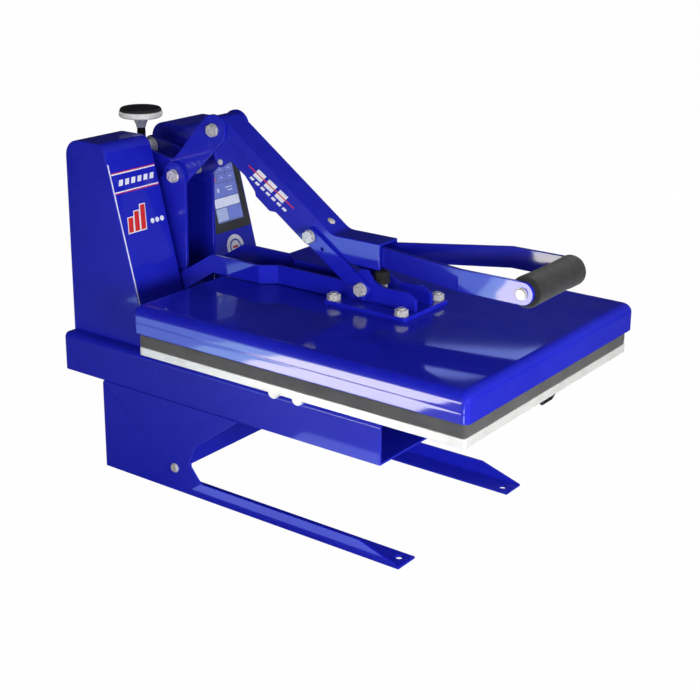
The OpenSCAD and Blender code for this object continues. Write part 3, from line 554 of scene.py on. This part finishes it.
def rubber_bumper():
    """Moulded bumper: domed nose, waist groove and a rolled foot."""
    low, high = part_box("bumper")
    centre = Vector(((low.x + high.x) / 2, (low.y + high.y) / 2, low.z))
    r, h = (high.x - low.x) / 2, high.z - low.z
    profile = [(0.0, 0.0), (r - 1.4 * MM, 0.0), (r - 0.4 * MM, 0.5 * MM), (r, 1.6 * MM), (r, 3.4 * MM),
               (r - 0.9 * MM, 4.4 * MM), (r - 1.0 * MM, 5.4 * MM), (r - 0.3 * MM, 6.4 * MM)]
    dome = 10
    for i in range(dome + 1):
        a = math.radians(90 * i / dome)
        profile.append(((r - 0.3 * MM) * math.cos(a) ** 0.55 if i < dome else 0.0,
                        h * 0.55 + h * 0.45 * math.sin(a)))
    bm = bmesh.new()
    lathe(bm, profile, centre, (0, 0, 1), 40)
    piece = new_piece("rubber_bumper", bm, FINISH["rubber"], "platen")
    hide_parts("bumper")


# ---------------------------------------------------------------- threads and small hardware
def thread(name, centre, z0, z1, root, depth, pitch, body, slot):
    """A helical ridge round a screw's shank, fading out over fade_steps at each end."""
    turns = (z1 - z0) / pitch
    steps_per_turn, fade_steps = 20, 12
    count = int(turns * steps_per_turn)
    flank = Vector((0, 0, pitch * 0.42))
    bm = bmesh.new()
    rings = []
    for i in range(count + 1):
        a = 2 * math.pi * turns * i / count
        z = z0 + (z1 - z0) * i / count
        fade = min(1.0, i / fade_steps, (count - i) / fade_steps)
        out = Vector((math.cos(a), math.sin(a), 0))
        base, crest = out * (root - 0.15 * MM), out * (root + depth * fade)
        middle = Vector((centre[0], centre[1], z))
        rings.append([middle + base - flank, middle + crest, middle + base + flank])
    loft(bm, rings)
    new_piece(name, bm, FINISH[slot], body, smooth=False)


def screw_threads():
    """Threads of the 12 mm pressure screw and of the bumper's 8 mm stud."""
    low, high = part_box("pressure_screw")
    thread("pressure_screw_thread", box_middle(*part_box("knob_neck")), low.z + 21 * MM, high.z - 4 * MM,
           root=6.0 * MM, depth=0.55 * MM, pitch=2.0 * MM, body="knob", slot="dark_steel")
    low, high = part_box("bumper_stud")
    thread("bumper_stud_thread", box_middle(low, high), low.z + 7 * MM,
           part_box("bumper")[0].z - 8.6 * MM, root=4.0 * MM, depth=0.4 * MM, pitch=1.25 * MM,
           body="platen", slot="zinc")


def lever_button():
    """Small plated button head with its washer, on the lever's top ahead of the link bolts."""
    x, link_y = box_middle(*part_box("link_pivot_bolts"))
    above = Vector((x, link_y - 16.5 * MM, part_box("lever_channel")[1].z + 100 * MM))
    place, normal = nodes["lever_channel"].ray_cast(above, Vector((0, 0, -1)))[1:3]
    washer, head, crown, buried, top = 5.6 * MM, 4.3 * MM, 1.7 * MM, 1.5 * MM, 0.8 * MM
    dome = 7
    profile = [(0.0, -buried), (washer, -buried), (washer, 0.5 * MM), (5.2 * MM, top), (head, top)]
    for i in range(1, dome + 1):
        a = math.radians(90 * i / dome)
        profile.append((head * math.cos(a) if i < dome else 0.0, top + crown * math.sin(a)))
    bm = bmesh.new()
    lathe(bm, profile, place, normal, 32)
    new_piece("lever_button", bm, FINISH["zinc"], "lever")


# ---------------------------------------------------------------- decals and screen
class Face:
    """A flat face to lay prints on: origin, u across, v up and n out of the face."""

    def __init__(self, origin, u, v):
        self.origin, self.u, self.v = Vector(origin), Vector(u).normalized(), Vector(v).normalized()
        self.n = self.u.cross(self.v)

    def at(self, x, y, lift=0.0):
        return self.origin + self.u * x + self.v * y + self.n * lift


FILM = 0.12 * MM


def patch(bm, face, outline, lift=0.0, thick=FILM):
    """An extruded outline on a face: a piece of film or a screen tile."""
    bottom = [bm.verts.new(face.at(x, y, lift)) for x, y in outline]
    top = [bm.verts.new(face.at(x, y, lift + thick)) for x, y in outline]
    bm.faces.new(list(reversed(bottom)))
    bm.faces.new(top)
    for i in range(len(outline)):
        j = (i + 1) % len(outline)
        bm.faces.new((bottom[i], bottom[j], top[j], top[i]))


def strip(x0, x1, y0, y1, slant=0.0):
    """A bar's corners; slant shifts its upper edge sideways."""
    return [(x0, y0), (x1, y0), (x1 + slant, y1), (x0 + slant, y1)]


def disc(x, y, r, steps=40):
    """Points round a circle."""
    return [(x + r * math.cos(2 * math.pi * i / steps), y + r * math.sin(2 * math.pi * i / steps))
            for i in range(steps)]


def soft_tile(x0, x1, y0, y1, r=1.6 * MM):
    """A tile's outline with rounded corners."""
    points = []
    for cx, cy, start in ((x1 - r, y1 - r, 0), (x0 + r, y1 - r, 90), (x0 + r, y0 + r, 180),
                          (x1 - r, y0 + r, 270)):
        for i in range(6):
            a = math.radians(start + 18 * i)
            points.append((cx + r * math.cos(a), cy + r * math.sin(a)))
    return points


def prints(name, face, outlines, finish, body, lift=0.0):
    """One piece of several patches in one finish on a face."""
    bm = bmesh.new()
    for outline in outlines:
        patch(bm, face, outline, lift)
    new_piece(name, bm, finish, body, smooth=False)


def tower_face(node):
    """The raked front of a tower, from its CAD corners: x from its middle and v up the face."""
    low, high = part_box(node)
    mesh = nodes[node].data
    flats = [p for p in mesh.polygons if p.normal.y < -0.8 and p.normal.z > 0.1]
    largest = max(flats, key=lambda p: p.area)
    n = largest.normal.copy()
    v = Vector((0, -n.z * n.y, 1 - n.z * n.z)).normalized()
    foot = mesh.vertices[largest.vertices[0]].co
    drop = (low.z - foot.z) / v.z
    origin = foot + v * drop
    origin.x = (low.x + high.x) / 2
    return Face(origin, v.cross(n), v)


def tower_prints():
    """Edge stripe that is print and painted highlight, two ruled bands, an abstract mark of rising bars; no
    lettering.
    """
    face = tower_face("tower_cover_left")
    low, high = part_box("tower_cover_left")
    half = (high.x - low.x) / 2 - 1.4 * MM
    # The white stripe down the left edge is partly a printed border and partly a painted highlight of the
    # bend.
    print_and_highlight_stripe = strip(-half, -half + 2.0 * MM, 1.5 * MM, 262 * MM)
    rule_high, rule_low = 246 * MM, 221 * MM
    right = half - 0.4 * MM
    white = [print_and_highlight_stripe, strip(-half + 3 * MM, right, rule_high, rule_high + 1.7 * MM),
             strip(-half + 3 * MM, right, rule_low, rule_low + 1.7 * MM)]
    red = [strip(-half + 3 * MM, right, rule_high + 1.9 * MM, rule_high + 3.1 * MM),
           strip(-half + 3 * MM, right, rule_low - 1.5 * MM, rule_low - 0.3 * MM)]
    for i in range(6):
        x = -half + 12 * MM + i * 12 * MM
        white.append(strip(x, x + 7.5 * MM, rule_low + 9 * MM, rule_low + 17 * MM, 3 * MM))
    for bar in range(3):
        x0, tall = (12 * bar - 32) * MM, 20 + 7 * bar
        white.append(strip(x0 - 1.4 * MM, x0 + 10.4 * MM, 162.6 * MM, (165.4 + tall) * MM, tall * 0.2 * MM))
        red.append(strip(x0, x0 + 9 * MM, 164 * MM, (164 + tall) * MM, tall * 0.2 * MM))
    dots = [disc((16 + 9.5 * i) * MM, 172 * MM, 3.6 * MM) for i in range(3)]
    prints("tower_print_white", face, white + dots, FINISH["white_ink"], "frame")
    prints("tower_print_red", face, red, FINISH["red_ink"], "frame", FILM)


def lever_prints():
    """Slanted flashes and dashes with a red line along the lever's left side; no lettering."""
    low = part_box("lever_channel")[0]
    slope = math.radians(31.592)
    along = Vector((0, -math.cos(slope), -math.sin(slope)))
    middle = low + Vector((0, 181.75 * MM, 84.457 * MM))
    face = Face(middle, along, Vector((-1, 0, 0)).cross(along))
    white = []
    for i in range(3):
        x = (-33 + 22 * i) * MM
        white.append(strip(x, x + 16 * MM, -6 * MM, 8 * MM, 4 * MM))
    for i in range(7):
        x = (-36 + 11 * i) * MM
        white.append(strip(x, x + 7 * MM, -13 * MM, -9 * MM, 1.5 * MM))
    red = [strip(-46 * MM, 46 * MM, 0.2 * MM, 2.0 * MM, 0.5 * MM)]
    prints("lever_print_white", face, white, FINISH["white_ink"], "lever")
    prints("lever_print_red", face, red, FINISH["red_ink"], "lever", FILM)


def tile_centre(tile):
    return sum(x for x, y in tile) / len(tile), sum(y for x, y in tile) / len(tile)


def screen_tiles():
    """A generic touch-panel page: plain tiles with short dashes, a pale band and a red disc."""
    face = tower_face("tower_cover_right")
    corners = [v.co - face.origin for v in nodes["control_screen"].data.vertices]
    depth = max(corner.dot(face.n) for corner in corners)
    heights = [corner.dot(face.v) for corner in corners]
    wide = [corner.dot(face.u) for corner in corners]
    x0, x1, y0, y1 = min(wide), max(wide), min(heights), max(heights)
    w, h = x1 - x0, y1 - y0
    gap = 1.6 * MM

    def row(share0, share1, *shares):
        """Tiles between two shares of the screen's height, split across by shares."""
        foot, head = y0 + h * share0 + gap / 2, y0 + h * share1 - gap / 2
        tiles, at = [], x0 + gap
        for share in shares:
            step = (w - gap) * share
            tiles.append(soft_tile(at, at + step - gap, foot, head))
            at += step
        return tiles

    top = row(0.86, 1.0, 0.3, 0.35, 0.35)
    second = row(0.70, 0.86, 0.3, 0.35, 0.35)
    third = row(0.44, 0.70, 1.0)
    band = row(0.26, 0.44, 1.0)
    bottom = row(0.02, 0.26, 0.45, 0.55)
    lift = depth + 0.02 * MM
    prints("screen_tiles_blue", face, top + second[1:] + bottom[1:] + third, TILE["tile_blue"], "frame",
           lift)
    prints("screen_tiles_pale", face, band, TILE["tile_light"], "frame", lift)
    prints("screen_tiles_grey", face, bottom[:1], TILE["tile_pale"], "frame", lift)
    marks = []
    for tile in top[1:] + second[1:]:
        cx, cy = tile_centre(tile)
        marks.append(strip(cx - 3 * MM, cx + 3 * MM, cy - 0.5 * MM, cy + 0.5 * MM))
    mx, my = tile_centre(third[0])
    marks += [strip(mx - 16 * MM, mx - 12 * MM, my - 3 * MM, my + 3 * MM),
              strip(mx + 2 * MM, mx + 17 * MM, my + 1.5 * MM, my + 3 * MM),
              strip(mx + 6 * MM, mx + 17 * MM, my - 3 * MM, my - 1.5 * MM)]
    red = [disc(*tile_centre(second[0]), 4.2 * MM)]
    prints("screen_marks", face, marks, TILE["tile_light"], "frame", lift + FILM)
    prints("screen_red_key", face, red, TILE["tile_red"], "frame", lift)


def badge():
    """Plain round badge on the right tower: white disc, blue ring and a red bar."""
    face = tower_face("tower_cover_right")
    x, y = -0.5 * MM, 100.5 * MM
    steps = 48
    prints("badge_disc", face, [disc(x, y, 18.5 * MM, steps)], FINISH["white_ink"], "frame")
    ring = bmesh.new()
    outer, inner = disc(x, y, 12.0 * MM, steps), disc(x, y, 9.6 * MM, steps)
    rings = [[face.at(px, py, FILM) for px, py in outer], [face.at(px, py, 2 * FILM) for px, py in outer],
             [face.at(px, py, 2 * FILM) for px, py in inner], [face.at(px, py, FILM) for px, py in inner]]
    loft(ring, rings, closed_loop=True)
    new_piece("badge_ring", ring, FINISH["blue_ink"], "frame", smooth=False)
    prints("badge_bar", face, [strip(x - 5.5 * MM, x + 5.5 * MM, y - 1.7 * MM, y + 1.7 * MM)],
           FINISH["red_ink"], "frame", FILM)


heat_cover()
soft_slab("sponge_pad", "silicone_pad", "frame", "silicone_sponge", 0.9 * MM, 6 * MM, 0.5 * MM, 3)
soft_slab("insulation_felt", "insulation_pad", "platen", "insulation", 1.6 * MM, 8 * MM, 1.2 * MM, 8)
foam_grip()
rubber_bumper()
screw_threads()
lever_button()
tower_prints()
lever_prints()
screen_tiles()
badge()


# ---------------------------------------------------------------- studio
def studio_floor():
    """Pale floor: near white with a faint shadow to the camera, dark grey to every other ray."""
    bm = bmesh.new()
    bmesh.ops.create_grid(bm, x_segments=8, y_segments=8, size=12.0)
    mesh = bpy.data.meshes.new("floor")
    bm.to_mesh(mesh)
    bm.free()
    floor = bpy.data.objects.new("floor", mesh)
    bpy.context.scene.collection.objects.link(floor)
    s = Shader("floor")
    s.put(Roughness=0.9, Specular_IOR_Level=0.0)
    s.colour(s.ramp(s.noise(3.0, 2.0), (0.3, (0.10, 0.10, 0.11)), (0.7, (0.12, 0.12, 0.13))))
    white = s.node("ShaderNodeEmission", Color=(1, 1, 1, 1), Strength=1.02)
    rays = s.tree.nodes.new("ShaderNodeLightPath")
    white_share = s.scaled(rays.outputs["Is Camera Ray"], 0.97)
    mix = s.node("ShaderNodeMixShader", [("Fac", white_share)])
    s.tree.links.new(s.bsdf.outputs[0], mix.inputs[1])
    s.tree.links.new(white.outputs[0], mix.inputs[2])
    s.tree.links.new(mix.outputs[0], s.tree.nodes["Material Output"].inputs["Surface"])
    dress(floor, s.mat)


def area_light(name, width, height, watts, colour):
    """A rectangular light that the camera doesn't see."""
    data = bpy.data.lights.new(name, "AREA")
    data.shape = "RECTANGLE"
    data.size, data.size_y = width, height
    data.energy = watts
    data.color = colour
    light = bpy.data.objects.new(name, data)
    bpy.context.scene.collection.objects.link(light)
    light.visible_camera = False
    return light


def softbox(name, place, target, width, height, watts, colour=(1, 1, 1), gloss=True):
    """A soft light aimed at target; without gloss it lights the object but shows in no reflection."""
    light = area_light(name, width, height, watts, colour)
    light.location = place
    aim = Vector(target) - Vector(place)
    light.rotation_euler = aim.to_track_quat("-Z", "Y").to_euler()
    light.visible_glossy = gloss


def card(name, xs, ys, radiance, colour):
    """A glowing card just over the floor, facing up: it shows in reflections and lights nothing."""
    width, height = xs[1] - xs[0], ys[1] - ys[0]
    light = area_light(name, width, height, math.pi * width * height * radiance, colour)
    over_floor = 4 * MM
    light.location = ((xs[0] + xs[1]) / 2, (ys[0] + ys[1]) / 2, over_floor)
    light.rotation_euler = (math.pi, 0, 0)
    light.visible_diffuse = False


def world():
    """White to the camera; to every other ray a dark studio that is a little brighter in front."""
    sky = bpy.data.worlds.new("studio")
    bpy.context.scene.world = sky
    sky.use_nodes = True
    tree = sky.node_tree
    tree.nodes.clear()
    coord = tree.nodes.new("ShaderNodeTexCoord")
    split = tree.nodes.new("ShaderNodeSeparateXYZ")
    front = tree.nodes.new("ShaderNodeMapRange")
    ramp = tree.nodes.new("ShaderNodeValToRGB")
    lit, white = tree.nodes.new("ShaderNodeBackground"), tree.nodes.new("ShaderNodeBackground")
    rays, mix = tree.nodes.new("ShaderNodeLightPath"), tree.nodes.new("ShaderNodeMixShader")
    out = tree.nodes.new("ShaderNodeOutputWorld")
    front.inputs["From Min"].default_value = 1.0
    front.inputs["From Max"].default_value = -1.0
    rear_stop, front_stop = ramp.color_ramp.elements
    rear_stop.position, rear_stop.color = 0.40, (0.018, 0.018, 0.022, 1)
    front_stop.position, front_stop.color = 0.95, (0.20, 0.21, 0.24, 1)
    lit.inputs["Strength"].default_value = 1.0
    white.inputs["Color"].default_value = (1, 1, 1, 1)
    white.inputs["Strength"].default_value = 1.0
    for source, target in ((coord.outputs["Generated"], split.inputs[0]),
                           (split.outputs["Y"], front.inputs["Value"]),
                           (front.outputs["Result"], ramp.inputs["Fac"]),
                           (ramp.outputs["Color"], lit.inputs["Color"]),
                           (rays.outputs["Is Camera Ray"], mix.inputs[0]),
                           (lit.outputs[0], mix.inputs[1]),
                           (white.outputs[0], mix.inputs[2]),
                           (mix.outputs[0], out.inputs[0])):
        tree.links.new(source, target)


def camera():
    """The camera's place, aim, focal length and small shift give the reference view."""
    place = (-1.4574, -1.1189, 0.8638)
    azimuth, elevation, roll = math.radians(-54.2), math.radians(17.1), math.radians(0.6)
    back = Vector((math.sin(azimuth) * math.cos(elevation), -math.cos(azimuth) * math.cos(elevation),
                   math.sin(elevation)))
    right = (-back).cross(Vector((0, 0, 1))).normalized()
    up = right.cross(-back)
    right, up = (right * math.cos(roll) + up * math.sin(roll),
                 up * math.cos(roll) - right * math.sin(roll))
    data = bpy.data.cameras.new("camera")
    data.sensor_width = 36.0
    data.lens = 72.74
    data.shift_x, data.shift_y = -0.019, -0.102
    cam = bpy.data.objects.new("camera", data)
    bpy.context.scene.collection.objects.link(cam)
    turn = Matrix((right, up, back)).transposed().to_4x4()
    cam.matrix_world = Matrix.Translation(place) @ turn
    bpy.context.scene.camera = cam


def lights():
    """Soft fills on every side, two small highlights, and the cards that the paint mirrors."""
    middle = Vector((0, 0, 0.30))
    front_left = (-0.62, -1.45, 0.46)
    softbox("key", front_left, middle, 1.1, 0.45, 26, gloss=False)
    softbox("glint", front_left, middle, 0.7, 0.25, 3.4)
    softbox("fill", (0.9, -1.9, 0.55), middle, 1.0, 0.6, 8, gloss=False)
    softbox("left_fill", (-2.0, 0.0, 0.5), middle, 1.4, 0.6, 19, gloss=False)
    softbox("right_fill", (2.1, 0.2, 0.7), middle, 1.4, 0.8, 30, gloss=False)
    softbox("rear_fill", (0.3, 2.4, 0.8), middle, 1.4, 0.8, 30, gloss=False)
    softbox("top_light", (0.1, 0.1, 2.4), middle, 1.6, 1.6, 5, gloss=False)
    softbox("rear_strip", (1.08, 0.38, 0.80), (-0.15, -0.3, 0.28), 0.26, 0.07, 0.13,
            (0.32, 0.42, 1.0))
    beside = (-1.25, -0.67)
    card("card_front", beside, (0.02, 0.38), 14.0, (1.0, 0.95, 0.80))
    card("card_middle", beside, (0.38, 0.50), 6.0, (0.55, 0.85, 1.0))
    card("card_rear", beside, (0.50, 0.80), 3.4, (0.36, 0.60, 1.0))
    card("card_arm", (-0.83, -0.67), (-0.63, -0.43), 8.0, (0.7, 0.9, 1.0))
    card("card_feet", (-0.41, -0.16), (-0.62, 0.12), 3.0, (0.37, 0.47, 1.0))


studio_floor()
world()
camera()
lights()
bpy.context.scene.view_settings.view_transform = "Standard"
